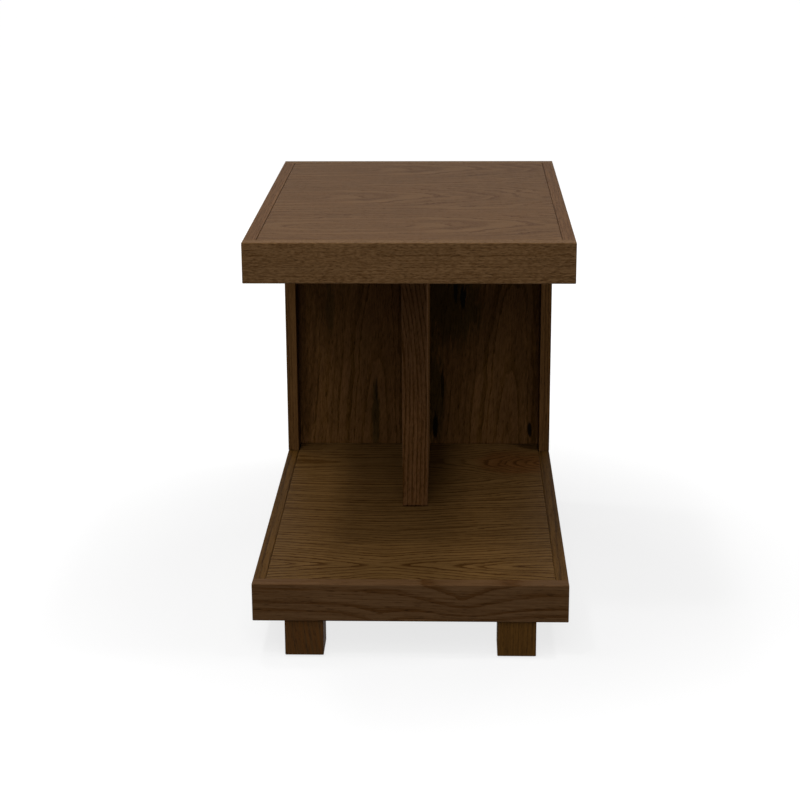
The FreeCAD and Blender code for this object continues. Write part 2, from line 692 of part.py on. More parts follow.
def make_top_screws():
    """Makes the countersunk screws down through the top's spine into the fin."""
    reach = frame_height + size.skin + size.screw_bite
    straight = size.screw_tip - reach
    profile = [
        (NONE, NONE),
        (size.screw_head / 2, NONE),
        (size.screw / 2, -size.screw_head_height),
        (size.screw / 2, straight),
        (NONE, -reach),
    ]
    pattern = turned("top_screw_pattern", profile)
    sketch = add_sketch(pattern, "top_screw_cross", "XY_Plane")
    arm, half_slot = size.screw_slot_length / 2, size.screw_slot / 2
    corners = [
        (arm, -half_slot),
        (arm, half_slot),
        (half_slot, half_slot),
        (half_slot, arm),
        (-half_slot, arm),
        (-half_slot, half_slot),
        (-arm, half_slot),
        (-arm, -half_slot),
        (-half_slot, -half_slot),
        (-half_slot, -arm),
        (half_slot, -arm),
        (half_slot, -half_slot),
    ]
    draw_outline(sketch, corners)
    cut(pattern, "top_screw_recess", sketch, size.screw_slot_depth, False)
    level = soffit_level + size.skin + frame_height
    set_of("top_screws", pattern, [((x, y, level),) for x, y in fin_bolts])


def check_document():
    """Stops if an object failed, or if a sub-part has no sound shape."""
    doc.recompute()
    for thing in doc.Objects:
        if "Invalid" in thing.State or "Error" in thing.State:
            raise ValueError(f"{thing.Name} failed: {thing.State}")
    for label, thing in parts.items():
        if thing.Shape.isNull() or not thing.Shape.isValid() or not thing.Shape.Solids:
            raise ValueError(f"{label} has no sound shape")


def write_parts():
    """Writes each sub-part to its own STEP file."""
    os.makedirs("parts", exist_ok=True)
    for label, thing in parts.items():
        thing.Shape.exportStep(f"parts/{label}.step")
    print(f"{len(parts)} sub-parts written")


make_base()
make_top()
make_upright()
make_fin()
make_feet()
make_dowels()
make_base_bolts()
make_foot_studs()
make_top_screws()
check_document()
write_parts()
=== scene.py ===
"""A chairside table in dark stained oak, dressed for its picture.

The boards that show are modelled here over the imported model, with softened edges, and each is cut from its
own piece of oak. The frames inside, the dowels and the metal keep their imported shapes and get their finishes.
"""

import math

import bmesh
import bpy
from mathutils import Euler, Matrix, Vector


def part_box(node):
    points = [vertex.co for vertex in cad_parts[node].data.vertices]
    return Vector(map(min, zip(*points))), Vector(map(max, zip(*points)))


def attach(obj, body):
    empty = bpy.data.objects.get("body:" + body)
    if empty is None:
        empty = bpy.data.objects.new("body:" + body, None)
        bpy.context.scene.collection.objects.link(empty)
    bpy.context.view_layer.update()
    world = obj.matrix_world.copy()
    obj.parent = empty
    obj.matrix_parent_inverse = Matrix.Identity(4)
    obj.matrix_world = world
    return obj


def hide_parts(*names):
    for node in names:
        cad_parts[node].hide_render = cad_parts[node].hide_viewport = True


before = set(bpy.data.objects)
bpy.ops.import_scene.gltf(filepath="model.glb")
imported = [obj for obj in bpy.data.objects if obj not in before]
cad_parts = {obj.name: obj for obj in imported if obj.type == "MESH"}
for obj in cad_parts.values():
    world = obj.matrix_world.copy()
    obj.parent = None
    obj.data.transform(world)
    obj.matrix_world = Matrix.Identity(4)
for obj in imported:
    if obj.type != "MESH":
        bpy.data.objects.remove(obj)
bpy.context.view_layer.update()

# Camera: a long lens in front of the table and a little above it, looking down over the top.
# The picture that it follows was taken with a shifted lens, which would push the table out of other views,
# so this camera tilts down instead, and is placed where the table's corners come nearest to their places.
CAMERA_PLACE = Vector((0.057, -2.5086, 1.0052))
CAMERA_YAW = math.radians(1.778)
CAMERA_PITCH = math.radians(16.598)
CAMERA_ROLL = math.radians(-0.336)
CAMERA_LENS = 83.57
CAMERA_SENSOR = 36

bpy.ops.object.camera_add(location=CAMERA_PLACE)
camera = bpy.context.active_object
camera.name = "camera"
turn = Euler((math.radians(90) - CAMERA_PITCH, 0, CAMERA_YAW), "XYZ").to_matrix()
roll = Euler((0, 0, CAMERA_ROLL), "XYZ").to_matrix()
camera.rotation_euler = (turn @ roll).to_euler()
camera.data.lens = CAMERA_LENS
camera.data.sensor_width = CAMERA_SENSOR
bpy.context.scene.camera = camera
bpy.context.scene.view_settings.view_transform = "Standard"


# Felt pads: four discs of pressed wool felt, stuck up under the feet so that the table slides without
# marking a floor. They are punched from sheet, so the rim is square-cut, with its lower corner worn round.
MM = 0.001
PADS = ["felt_pad_front_left", "felt_pad_front_right", "felt_pad_back_left", "felt_pad_back_right"]
PAD_SIDES = 64
PAD_WEAR = 0.5 * MM
PAD_WEAR_STEPS = 3
SMOOTH_BELOW = math.radians(30)


def linear(hex_colour):
    """Turns an sRGB colour such as #AABBCC to the linear one that a shader takes."""
    levels = [int(hex_colour[i : i + 2], 16) / 255 for i in (1, 3, 5)]
    return (*[v / 12.92 if v <= 0.04045 else ((v + 0.055) / 1.055) ** 2.4 for v in levels], 1.0)


def add(tree, kind, settings=None, inputs=None, **links):
    """Adds a node, sets its settings and sockets, and links the sockets that are named as keywords.

    A keyword such as Base_Color names the socket Base Color, and one such as _1 the socket numbered 1.
    """
    node = tree.nodes.new(kind)
    for name, value in (settings or {}).items():
        setattr(node, name, value)
    for name, value in (inputs or {}).items():
        node.inputs[name].default_value = value
    for name, source in links.items():
        key = int(name[1:]) if name[1:].isdigit() else name.replace("_", " ")
        tree.links.new(source, node.inputs[key])
    return node


def finish(name):
    """Starts a material: gives its empty node tree."""
    material = bpy.data.materials.new(name)
    material.use_nodes = True
    material.node_tree.nodes.clear()
    return material, material.node_tree


# Pressed wool felt: tangled fibres about 0.05 mm thick, drawn here as tufts of 0.8 mm so that they show.
# Light catches the fibre ends, so it is fully rough with a soft sheen, and mottled from the mixed wool.
TUFT = 0.8 * MM
TUFT_HEIGHT = 0.3 * MM
pressed_felt, tree = finish("pressed_wool_felt")
place = add(tree, "ShaderNodeTexCoord").outputs["Object"]
tufts = add(
    tree, "ShaderNodeTexNoise", None, {"Scale": 1 / TUFT, "Detail": 3.0, "Roughness": 0.7}, Vector=place
).outputs["Fac"]
mottle = add(
    tree, "ShaderNodeMix", {"data_type": "RGBA"}, {6: linear("#4A443D"), 7: linear("#6D655B")}, _0=tufts
).outputs[2]
fuzz = add(
    tree, "ShaderNodeBump", None, {"Strength": 0.7, "Distance": TUFT_HEIGHT}, Height=tufts
).outputs["Normal"]
shader = add(
    tree, "ShaderNodeBsdfPrincipled", None,
    {"Roughness": 1.0, "Sheen Weight": 0.4, "Sheen Roughness": 0.6, "Specular IOR Level": 0.1},
    Base_Color=mottle, Normal=fuzz,
)
add(tree, "ShaderNodeOutputMaterial", Surface=shader.outputs[0])

for node in PADS:
    low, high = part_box(node)
    bpy.ops.object.select_all(action="DESELECT")
    bpy.ops.mesh.primitive_cylinder_add(
        vertices=PAD_SIDES, radius=(high.x - low.x) / 2, depth=high.z - low.z, location=(low + high) / 2
    )
    pad = bpy.context.active_object
    pad.name = f"{node}_disc"
    bpy.ops.object.transform_apply(location=True, rotation=True, scale=True)
    bpy.ops.object.mode_set(mode="EDIT")
    bpy.ops.mesh.select_mode(type="EDGE")
    bpy.ops.mesh.select_all(action="DESELECT")
    shape = bmesh.from_edit_mesh(pad.data)
    middle = (low.z + high.z) / 2
    for edge in shape.edges:
        edge.select = all(vertex.co.z < middle for vertex in edge.verts)
    shape.select_flush_mode()
    bmesh.update_edit_mesh(pad.data)
    bpy.ops.mesh.bevel(offset=PAD_WEAR, segments=PAD_WEAR_STEPS, affect="EDGES")
    bpy.ops.object.mode_set(mode="OBJECT")
    bpy.ops.object.shade_smooth_by_angle(angle=SMOOTH_BELOW)
    pad.data.materials.append(pressed_felt)
    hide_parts(node)
    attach(pad, "root")


# Feet: four blocks of solid oak with the grain upright, square in plan, with every outer corner sanded to a
# soft arris. Each is pegged with a beech dowel and drawn up to the base by a threaded stud.
ARRIS = 1.2 * MM
ARRIS_STEPS = 4
JOINT_EASE = 0.25 * MM
SHORTEST_EASED = 5 * ARRIS
TOUCH = 0.01 * MM
HOLE_PLAY = 0.1 * MM
SQUARE = math.radians(80)
FACES_STRAIGHT = 0.9


def box_round(*nodes):
    """The box round some nodes, as its low and high corners."""
    boxes = [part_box(node) for node in nodes]
    low = Vector([min(box[0][axis] for box in boxes) for axis in range(3)])
    high = Vector([max(box[1][axis] for box in boxes) for axis in range(3)])
    return low, high


def bore(piece, fastener):
    """Bores a piece wherever a packed fastener passes, a little wider than the fastener."""
    bpy.ops.object.select_all(action="DESELECT")
    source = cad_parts[fastener]
    bit = bpy.data.objects.new("bit", source.data.copy())
    bpy.context.collection.objects.link(bit)
    bpy.context.view_layer.objects.active = bit
    bit.select_set(True)
    bpy.ops.object.mode_set(mode="EDIT")
    bpy.ops.mesh.select_all(action="SELECT")
    bpy.ops.mesh.remove_doubles(threshold=TOUCH)
    bpy.ops.mesh.normals_make_consistent(inside=False)
    bpy.ops.transform.shrink_fatten(value=HOLE_PLAY)
    bpy.ops.object.mode_set(mode="OBJECT")
    bpy.ops.object.select_all(action="DESELECT")
    bpy.context.view_layer.objects.active = piece
    piece.select_set(True)
    hole = piece.modifiers.new("hole", "BOOLEAN")
    hole.operation = "DIFFERENCE"
    hole.object = bit
    bpy.ops.object.modifier_apply(modifier=hole.name)
    bpy.data.objects.remove(bit)


def board(node, material, outer, fasteners=(), grooves=None, undercut=0.0):
    """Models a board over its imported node: a soft arris on its outer edges, the joint edges just eased.

    outer is a box, as its low and high corners. An edge that lies on two of its walls is an outer edge.
    grooves gives the side with a shadow groove along each of its long edges, as 1 for the upper side and
    -1 for the lower, with the groove's width and depth. Holes are bored where the fasteners pass. undercut
    is the width of a chamfer along the lower front edge. Slivers that the cuts leave are merged away.
    """
    low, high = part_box(node)
    body_low, body_high = low.copy(), high.copy()
    if grooves:
        side, groove_width, groove_depth = grooves
        if side > 0:
            body_high.z -= groove_depth
        else:
            body_low.z += groove_depth
    bpy.ops.object.select_all(action="DESELECT")
    bpy.ops.mesh.primitive_cube_add(
        size=1, location=(body_low + body_high) / 2, scale=body_high - body_low
    )
    piece = bpy.context.active_object
    piece.name = f"{node}_board"
    bpy.ops.object.transform_apply(location=True, rotation=True, scale=True)
    bpy.ops.object.mode_set(mode="EDIT")
    if grooves:
        for wall in (low.x + groove_width, high.x - groove_width):
            bpy.ops.mesh.select_all(action="SELECT")
            bpy.ops.mesh.bisect(plane_co=(wall, 0, 0), plane_no=(1, 0, 0))
        bpy.ops.mesh.select_mode(type="FACE")
        bpy.ops.mesh.select_all(action="DESELECT")
        shape = bmesh.from_edit_mesh(piece.data)
        for face in shape.faces:
            inside = low.x + groove_width < face.calc_center_median().x < high.x - groove_width
            face.select = inside and face.normal.z * side > FACES_STRAIGHT
        bmesh.update_edit_mesh(piece.data)
        bpy.ops.mesh.extrude_region_move(TRANSFORM_OT_translate={"value": (0, 0, side * groove_depth)})
    bpy.ops.mesh.select_mode(type="EDGE")

    def is_outer(edge):
        """Whether an edge lies on two of the outer box's walls."""
        shared = 0
        for axis in range(3):
            ends = [vertex.co[axis] for vertex in edge.verts]
            for corner in outer:
                if all(abs(end - corner[axis]) < TOUCH for end in ends):
                    shared += 1
        return shared == 2

    if undercut:
        bpy.ops.mesh.select_all(action="DESELECT")
        shape = bmesh.from_edit_mesh(piece.data)
        for edge in shape.edges:
            edge.select = all(max(vertex.co.y - low.y, vertex.co.z - low.z) < TOUCH for vertex in edge.verts)
        shape.select_flush_mode()
        bmesh.update_edit_mesh(piece.data)
        bpy.ops.mesh.bevel(offset=undercut, segments=1, affect="EDGES")
    for width, steps, wanted in ((ARRIS, ARRIS_STEPS, True), (JOINT_EASE, 1, False)):
        bpy.ops.mesh.select_all(action="DESELECT")
        shape = bmesh.from_edit_mesh(piece.data)
        for edge in shape.edges:
            sharp = len(edge.link_faces) == 2 and edge.calc_face_angle_signed(0) > SQUARE
            edge.select = sharp and edge.calc_length() > SHORTEST_EASED and is_outer(edge) is wanted
        shape.select_flush_mode()
        bmesh.update_edit_mesh(piece.data)
        if any(edge.select for edge in shape.edges):
            bpy.ops.mesh.bevel(offset=width, segments=steps, profile=0.5, affect="EDGES")
    bpy.ops.object.mode_set(mode="OBJECT")
    for fastener in fasteners:
        bore(piece, fastener)
    bpy.ops.object.mode_set(mode="EDIT")
    bpy.ops.mesh.select_all(action="SELECT")
    bpy.ops.mesh.remove_doubles(threshold=TOUCH)
    bpy.ops.mesh.dissolve_degenerate(threshold=TOUCH)
    bpy.ops.object.mode_set(mode="OBJECT")
    bpy.ops.object.shade_smooth_by_angle(angle=SMOOTH_BELOW)
    even = piece.modifiers.new("even_faces", "WEIGHTED_NORMAL")
    even.keep_sharp = True
    bpy.ops.object.modifier_apply(modifier=even.name)
    piece.data.materials.clear()
    piece.data.materials.append(material)
    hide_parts(node)
    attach(piece, "root")


# What makes up the figure of oak, each as its length along the grain and its width across in mm, how many
# finer layers lie on it, and a seed of its own.
BEND = (260.0, 75.0, 2.0, 11.0)
FLAME = (26.0, 2.6, 2.0, 23.0)
SWIRL = (80.0, 34.0, 2.5, 71.0)
FIGURED_PATCH = (140.0, 55.0, 1.0, 91.0)
STREAK = (60.0, 1.7, 3.0, 37.0)
CLOUD = (150.0, 45.0, 2.0, 51.0)
DRIFT = (100.0, 10.0, 2.0, 59.0)
RAY_END = (6.0, 1.3, 1.0, 83.0)
TINT_FRINGE = (36.0, 4.5, 2.0, 97.0)
PORE_LAYERS = 1.0
PORE_SEED = 67.0
SEED_SPREAD = 1.7
OWN_SEED_SPREAD = 3.1

# A year's growth, as shares: how much of it has passed, and how open the wood is there. The pace and the
# boldness of the years drift, the stain gathers in the pores, and the matt lacquer leaves hardly any shine.
YEAR_SHARES = ((0.0, 0.1), (0.05, 1.0), (0.2, 0.7), (0.42, 0.12), (0.93, 0.0), (1.0, 0.1))
MEAN_OPENNESS = 0.3
MIDDLE_TONE = 0.45
PACE_CHANGES_A_YEAR = 0.45
PACE_SWING = 3.6
BOLDNESS_CHANGES_A_YEAR = 0.8
BOLDNESS_SEED = 0.37
BOLDNESS_RANGE = (0.3, 0.7)
PATCH_RANGE = (0.35, 0.65)
PORE_EDGE = (0.54, 0.68)
PORE_LEVEL_IN_DENSE_WOOD = 0.2
PORE_GAIN_IN_OPEN_WOOD = 0.7
TINT_EDGE = (0.12, 0.4)
TINT_RAGGEDNESS = 2.6
GRAIN_ROUGHNESS = 0.55
RELIEF_DEPTH = 0.25 * MM
RELIEF_STRENGTH = 0.5
OPEN_WOOD_SHARE = 0.25
OAK_IOR = 1.45
MATT_LACQUER = 0.03
OAK_ROUGHNESS = 0.55
PORE_DULLNESS = 0.15
RAY_GAIN = 4
CLOUD_GAIN = 4
BOTH_WAYS = 2


def oak(
    name, heart, along, ring, seed, late, early, pore, wander, flame, contrast, cloud, fibre=0.9, pores=1.0,
    pore_size=(9.0, 1.0), scales=0.0, curl=0.0, uneven=0.7, swells=(), stains_and_shades=(), leaves=(),
):
    """Stained oak as a block cut from a log: rings round a heart line, pores, fibres and uneven stain.

    heart is a point of the log's centre line in mm, and along is that line's direction. ring is the width
    of a year's growth in mm, and seed gives each log patterns of its own. late, early and pore are the
    colours of the dense wood, of the porous band that each year starts with, and of the pores, which hold
    the most stain. wander is how far the rings stray in mm, flame how ragged they are, contrast how bold,
    and uneven how much their width and boldness vary. curl is how far they swirl in mm. cloud is how
    uneven the stain is, fibre how streaky the wood, pores how dark the pores, and scales how strongly the
    cut ends of the rays show. pore_size is a pore's length and width in mm. swells push the rings outward
    round a place, as (centre, reach, lift) in mm. stains_and_shades tint a place with a real stain or with
    painted shade, as (centre, reach, colour, strength). leaves are veneer joints across the face: beyond
    one, the log is slid along by a shift, as (axis, place, shift) in mm.
    """
    material, tree = finish(name)
    place = add(tree, "ShaderNodeTexCoord").outputs["Object"]
    source = place
    if leaves:
        walk = add(tree, "ShaderNodeSeparateXYZ", _0=place)
        for axis, joint, shift in leaves:
            past = add(
                tree, "ShaderNodeMath", {"operation": "GREATER_THAN"}, {1: joint * MM}, _0=walk.outputs[axis]
            ).outputs[0]
            source = add(
                tree, "ShaderNodeVectorMath", {"operation": "MULTIPLY_ADD"}, {1: Vector(shift) * MM},
                _0=past, _2=source,
            ).outputs[0]
    turn = Vector(along).to_track_quat("X", "Z").to_euler()
    log = add(
        tree, "ShaderNodeMapping", {"vector_type": "TEXTURE"},
        {"Location": Vector(heart) * MM, "Rotation": turn, "Scale": (MM, MM, MM)}, Vector=source,
    ).outputs["Vector"]

    def figure(length, width, layers, own_seed):
        """A cloudy pattern from 0 to 1 whose spots are drawn out along the grain, to a size in mm."""
        start = (seed + own_seed, seed * SEED_SPREAD, own_seed * OWN_SEED_SPREAD)
        stretched = add(
            tree, "ShaderNodeVectorMath", {"operation": "MULTIPLY_ADD"},
            {1: (1 / length, 1 / width, 1 / width), 2: start}, _0=log,
        ).outputs[0]
        return add(
            tree, "ShaderNodeTexNoise", {"noise_dimensions": "3D"},
            {"Scale": 1.0, "Detail": layers, "Roughness": GRAIN_ROUGHNESS}, Vector=stretched,
        )

    def sway(length, width, layers, own_seed):
        """The same pattern from -0.5 to 0.5, to push something both ways."""
        pattern = figure(length, width, layers, own_seed).outputs[0]
        return add(tree, "ShaderNodeMath", {"operation": "SUBTRACT"}, {1: 0.5}, _0=pattern).outputs[0]

    def spot(centre, reach):
        """A round place that fades from 1 at its centre to 0 at its reach."""
        inside = add(
            tree, "ShaderNodeMapping", {"vector_type": "TEXTURE"},
            {"Location": Vector(centre) * MM, "Scale": Vector(reach) * MM}, Vector=place,
        ).outputs["Vector"]
        ball = add(tree, "ShaderNodeTexGradient", {"gradient_type": "QUADRATIC_SPHERE"}, Vector=inside)
        return ball.outputs["Fac"]

    slow = figure(*BEND).outputs["Color"]
    bend = add(tree, "ShaderNodeVectorMath", {"operation": "SUBTRACT"}, {1: (0.5, 0.5, 0.5)}, _0=slow)
    bent = add(
        tree, "ShaderNodeVectorMath", {"operation": "MULTIPLY_ADD"},
        {1: (0, wander * BOTH_WAYS, wander * BOTH_WAYS)}, _0=bend.outputs[0], _2=log,
    ).outputs[0]
    across = add(tree, "ShaderNodeVectorMath", {"operation": "MULTIPLY"}, {1: (0, 1, 1)}, _0=bent)
    radius = add(tree, "ShaderNodeVectorMath", {"operation": "LENGTH"}, _0=across.outputs[0]).outputs["Value"]
    radius = add(
        tree, "ShaderNodeMath", {"operation": "MULTIPLY_ADD"}, {1: flame * BOTH_WAYS},
        _0=sway(*FLAME), _2=radius,
    ).outputs[0]
    if curl:
        radius = add(
            tree, "ShaderNodeMath", {"operation": "MULTIPLY_ADD"}, {1: curl * BOTH_WAYS},
            _0=sway(*SWIRL), _2=radius,
        ).outputs[0]
    for centre, reach, lift in swells:
        radius = add(
            tree, "ShaderNodeMath", {"operation": "MULTIPLY_ADD"}, {1: lift},
            _0=spot(centre, reach), _2=radius,
        ).outputs[0]
    years = add(tree, "ShaderNodeMath", {"operation": "DIVIDE"}, {1: ring}, _0=radius).outputs[0]
    pace = add(
        tree, "ShaderNodeTexNoise", {"noise_dimensions": "1D"},
        {"Scale": PACE_CHANGES_A_YEAR, "Detail": 1.0}, W=years,
    ).outputs["Fac"]
    years = add(
        tree, "ShaderNodeMath", {"operation": "MULTIPLY_ADD"}, {1: PACE_SWING * uneven}, _0=pace, _2=years
    ).outputs[0]
    later = add(
        tree, "ShaderNodeMath", {"operation": "ADD"}, {1: seed + BOLDNESS_SEED}, _0=years
    ).outputs[0]
    boldness = add(
        tree, "ShaderNodeTexNoise", {"noise_dimensions": "1D"},
        {"Scale": BOLDNESS_CHANGES_A_YEAR, "Detail": 0.0}, W=later,
    ).outputs["Fac"]
    least, most = 1 - uneven, 1 + uneven
    boldness = add(
        tree, "ShaderNodeMapRange", None,
        {1: BOLDNESS_RANGE[0], 2: BOLDNESS_RANGE[1], 3: contrast * least, 4: contrast * most}, _0=boldness,
    ).outputs["Result"]
    figured = add(
        tree, "ShaderNodeMapRange", None, {1: PATCH_RANGE[0], 2: PATCH_RANGE[1], 3: least, 4: most},
        _0=figure(*FIGURED_PATCH).outputs[0],
    ).outputs["Result"]
    boldness = add(
        tree, "ShaderNodeMath", {"operation": "MULTIPLY"}, _0=boldness, _1=figured
    ).outputs[0]
    time_of_year = add(tree, "ShaderNodeMath", {"operation": "FRACT"}, _0=years).outputs[0]
    ramp = add(tree, "ShaderNodeValToRGB", Fac=time_of_year)
    ramp.color_ramp.interpolation = "EASE"
    while len(ramp.color_ramp.elements) < len(YEAR_SHARES):
        ramp.color_ramp.elements.new(0.5)
    for element, (passed, openness) in zip(ramp.color_ramp.elements, YEAR_SHARES):
        element.position = passed
        element.color = (openness, openness, openness, 1.0)
    band = add(
        tree, "ShaderNodeMath", {"operation": "SUBTRACT"}, {1: MEAN_OPENNESS}, _0=ramp.outputs["Color"]
    ).outputs[0]
    band = add(
        tree, "ShaderNodeMath", {"operation": "MULTIPLY_ADD"}, {2: MIDDLE_TONE}, _0=band, _1=boldness
    ).outputs[0]
    band = add(
        tree, "ShaderNodeMath", {"operation": "MULTIPLY_ADD"}, {1: fibre * BOTH_WAYS},
        _0=sway(*STREAK), _2=band,
    ).outputs[0]
    if scales:
        band = add(
            tree, "ShaderNodeMath", {"operation": "MULTIPLY_ADD"}, {1: scales * RAY_GAIN},
            _0=sway(*RAY_END), _2=band,
        ).outputs[0]
    wood = add(
        tree, "ShaderNodeMix", {"data_type": "RGBA", "clamp_factor": True},
        {6: linear(late), 7: linear(early)}, _0=band,
    ).outputs[2]
    vessel = add(
        tree, "ShaderNodeMapRange", {"interpolation_type": "SMOOTHSTEP"}, {1: PORE_EDGE[0], 2: PORE_EDGE[1]},
        _0=figure(*pore_size, PORE_LAYERS, PORE_SEED).outputs[0],
    ).outputs["Result"]
    room = add(
        tree, "ShaderNodeMath", {"operation": "MULTIPLY_ADD"},
        {1: PORE_GAIN_IN_OPEN_WOOD, 2: PORE_LEVEL_IN_DENSE_WOOD}, _0=band,
    ).outputs[0]
    vessel = add(tree, "ShaderNodeMath", {"operation": "MULTIPLY"}, _0=vessel, _1=room).outputs[0]
    depth = add(tree, "ShaderNodeMath", {"operation": "MULTIPLY"}, {1: pores}, _0=vessel).outputs[0]
    wood = add(
        tree, "ShaderNodeMix", {"data_type": "RGBA", "clamp_factor": True}, {7: linear(pore)},
        _0=depth, _6=wood,
    ).outputs[2]
    if stains_and_shades:
        ragged = add(
            tree, "ShaderNodeMath", {"operation": "MULTIPLY_ADD"}, {1: TINT_RAGGEDNESS, 2: 1.0},
            _0=sway(*TINT_FRINGE),
        ).outputs[0]
    # Each tint multiplies the wood by its colour. Some are real stains, and some are painted shade.
    for centre, reach, colour, strength in stains_and_shades:
        spread = add(
            tree, "ShaderNodeMath", {"operation": "MULTIPLY"}, _0=ragged, _1=spot(centre, reach)
        ).outputs[0]
        tint_weight = add(
            tree, "ShaderNodeMapRange", {"interpolation_type": "SMOOTHSTEP"},
            {1: TINT_EDGE[0], 2: TINT_EDGE[1], 4: strength}, _0=spread,
        ).outputs["Result"]
        wood = add(
            tree, "ShaderNodeMix", {"data_type": "RGBA", "blend_type": "MULTIPLY"}, {7: linear(colour)},
            _0=tint_weight, _6=wood,
        ).outputs[2]
    clouds = add(
        tree, "ShaderNodeMath", {"operation": "ADD"}, _0=sway(*CLOUD), _1=sway(*DRIFT)
    ).outputs[0]
    level = add(
        tree, "ShaderNodeMath", {"operation": "MULTIPLY_ADD"}, {1: cloud * CLOUD_GAIN, 2: 1.0}, _0=clouds
    ).outputs[0]
    wood = add(tree, "ShaderNodeVectorMath", {"operation": "SCALE"}, _0=wood, Scale=level).outputs[0]
    height = add(
        tree, "ShaderNodeMath", {"operation": "MULTIPLY_ADD"}, {1: OPEN_WOOD_SHARE}, _0=band, _2=depth
    ).outputs[0]
    relief = add(
        tree, "ShaderNodeBump", {"invert": True}, {"Strength": RELIEF_STRENGTH, "Distance": RELIEF_DEPTH},
        Height=height,
    ).outputs["Normal"]
    dullness = add(
        tree, "ShaderNodeMath", {"operation": "MULTIPLY_ADD"}, {1: PORE_DULLNESS, 2: OAK_ROUGHNESS}, _0=depth
    ).outputs[0]
    shader = add(
        tree, "ShaderNodeBsdfPrincipled", None, {"IOR": OAK_IOR, "Specular IOR Level": MATT_LACQUER},
        Base_Color=wood, Roughness=dullness, Normal=relief,
    )
    add(tree, "ShaderNodeOutputMaterial", Surface=shader.outputs[0])
    return material


# Straight-grained oak with the lines running up the block. The open pores hold the dark stain, which gives
# fine upright dashes under the matt lacquer.
left_foot_oak = oak(
    "straight_oak_left_feet", (-300, -290, 20), (-0.13, 0, 1), 7.0, 31.0, "#523316", "#422F1A", "#301E11",
    wander=4, flame=1.0, contrast=0.35, cloud=0.05, uneven=0.4,
)
right_foot_oak = oak(
    "straight_oak_right_feet", (290, -290, 20), (0.02, 0, 1), 6.0, 47.0, "#5B3E1A", "#3F2911", "#2E1C08",
    wander=4, flame=1.0, contrast=0.45, cloud=0.05, uneven=0.4,
)
for side, foot_oak in (("left", left_foot_oak), ("right", right_foot_oak)):
    for end in ("front", "back"):
        node = f"foot_{end}_{side}"
        board(node, foot_oak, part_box(node), ["foot_studs", "foot_dowels"])


# Base: the frame inside it, rails and ribs of planed poplar glued and pinned into a flat grid that keeps the
# slab light and true. It never shows once the skins are on, so it stays unfinished.
POPLAR_LINE = (120 * MM, 4 * MM, 4 * MM)
POPLAR_HEART_SHARE = (0.5, 0.12, 0.12)
POPLAR_HEART_EDGE = (0.5, 0.66)
POPLAR_HEART_STRENGTH = 0.6
PLANER_MARK = 0.1 * MM


def planed_poplar(name, along, seed):
    """Poplar planed on four sides: pale and even, with a faint green heart streak along the board.

    The rings are 3 to 5 mm apart and hardly darker than the rest, and the pores are too fine to see.
    """
    material, tree = finish(name)
    place = add(tree, "ShaderNodeTexCoord").outputs["Object"]
    turn = Vector(along).to_track_quat("X", "Z").to_euler()
    log = add(
        tree, "ShaderNodeMapping", {"vector_type": "TEXTURE"}, {"Rotation": turn, "Scale": POPLAR_LINE},
        Vector=place,
    ).outputs["Vector"]
    lines = add(tree, "ShaderNodeTexNoise", None, {"Scale": 1.0, "Detail": 3.0}, Vector=log).outputs["Fac"]
    broad = add(
        tree, "ShaderNodeVectorMath", {"operation": "MULTIPLY_ADD"},
        {1: POPLAR_HEART_SHARE, 2: (seed, seed, 0)}, _0=log,
    ).outputs[0]
    heart = add(tree, "ShaderNodeTexNoise", None, {"Scale": 1.0, "Detail": 1.0}, Vector=broad).outputs["Fac"]
    green = add(
        tree, "ShaderNodeMapRange", {"interpolation_type": "SMOOTHSTEP"},
        {1: POPLAR_HEART_EDGE[0], 2: POPLAR_HEART_EDGE[1], 4: POPLAR_HEART_STRENGTH}, _0=heart,
    ).outputs["Result"]
    pale = add(
        tree, "ShaderNodeMix", {"data_type": "RGBA"}, {6: linear("#DCCFA8"), 7: linear("#C6B68B")}, _0=lines
    ).outputs[2]
    wood = add(
        tree, "ShaderNodeMix", {"data_type": "RGBA"}, {7: linear("#A9A878")}, _0=green, _6=pale
    ).outputs[2]
    planed = add(
        tree, "ShaderNodeBump", None, {"Strength": 0.2, "Distance": PLANER_MARK}, Height=lines
    ).outputs["Normal"]
    shader = add(
        tree, "ShaderNodeBsdfPrincipled", None, {"Roughness": 0.7, "Specular IOR Level": 0.3},
        Base_Color=wood, Normal=planed,
    )
    add(tree, "ShaderNodeOutputMaterial", Surface=shader.outputs[0])
    return material


def dress(material, *nodes):
    """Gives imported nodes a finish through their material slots."""
    for node in nodes:
        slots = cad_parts[node].data.materials
        slots.clear()
        slots.append(material)


poplar_deep = planed_poplar("planed_poplar_front_to_back", (0, 1, 0), 3.0)
poplar_across = planed_poplar("planed_poplar_side_to_side", (1, 0, 0), 8.0)
poplar_upright = planed_poplar("planed_poplar_upright", (0, 0, 1), 12.0)
dress(poplar_deep, "base_left_rail", "base_right_rail", "base_spine_rail")
dress(poplar_across, "base_front_rail", "base_back_rail")
dress(poplar_across, *[f"base_{side}_{end}_rib" for side in ("left", "right") for end in ("front", "back")])


